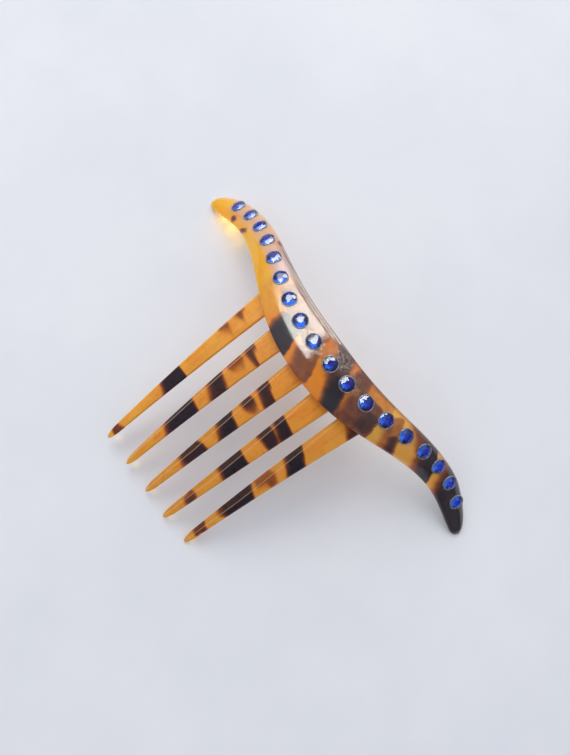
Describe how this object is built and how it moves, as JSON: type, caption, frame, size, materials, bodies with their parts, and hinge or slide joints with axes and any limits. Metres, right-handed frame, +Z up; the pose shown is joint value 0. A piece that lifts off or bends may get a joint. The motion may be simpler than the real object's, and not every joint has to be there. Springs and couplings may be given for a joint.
{
  "type": "decorative hair comb",
  "caption": "Arched hair comb with a domed, bow-shaped crest of mottled celluloid set with a row of blue rhinestones over long, curved, tapering teeth.",
  "frame": {"origin": "on the table, below the middle of the comb's bounding box, as the comb lies face up on its crest tips and lowest tooth tip", "axes": "+X along the crest from its left tip to its right tip, +Y from the teeth towards the crest, +Z up out of the crest's face"},
  "size_m": [0.1262, 0.0738, 0.0305],
  "materials": {
    "crest_celluloid": "polished, mottled amber and near-black",
    "tooth_celluloid": "polished, amber with dark bars",
    "blue_glass": "faceted and polished",
    "foil": "bright",
    "cement": "dull, yellowed"
  },
  "bodies": {
    "root": {"crest_band": "crest_celluloid", "tooth_comb": "tooth_celluloid", "cement_seam": "cement", "rhinestone_01": "blue_glass", "foil_backing_01": "foil", "stone_cement_01": "cement", "rhinestone_02": "blue_glass", "foil_backing_02": "foil", "stone_cement_02": "cement", "rhinestone_03": "blue_glass", "foil_backing_03": "foil", "stone_cement_03": "cement", "rhinestone_04": "blue_glass", "foil_backing_04": "foil", "stone_cement_04": "cement", "rhinestone_05": "blue_glass", "foil_backing_05": "foil", "stone_cement_05": "cement", "rhinestone_06": "blue_glass", "foil_backing_06": "foil", "stone_cement_06": "cement", "rhinestone_07": "blue_glass", "foil_backing_07": "foil", "stone_cement_07": "cement", "rhinestone_08": "blue_glass", "foil_backing_08": "foil", "stone_cement_08": "cement", "rhinestone_09": "blue_glass", "foil_backing_09": "foil", "stone_cement_09": "cement", "rhinestone_10": "blue_glass", "foil_backing_10": "foil", "stone_cement_10": "cement", "rhinestone_11": "blue_glass", "foil_backing_11": "foil", "stone_cement_11": "cement", "rhinestone_12": "blue_glass", "foil_backing_12": "foil", "stone_cement_12": "cement", "rhinestone_13": "blue_glass", "foil_backing_13": "foil", "stone_cement_13": "cement", "rhinestone_14": "blue_glass", "foil_backing_14": "foil", "stone_cement_14": "cement", "rhinestone_15": "blue_glass", "foil_backing_15": "foil", "stone_cement_15": "cement", "rhinestone_16": "blue_glass", "foil_backing_16": "foil", "stone_cement_16": "cement", "rhinestone_17": "blue_glass", "foil_backing_17": "foil", "stone_cement_17": "cement", "rhinestone_18": "blue_glass", "foil_backing_18": "foil", "stone_cement_18": "cement"}
  },
  "joints": []
}
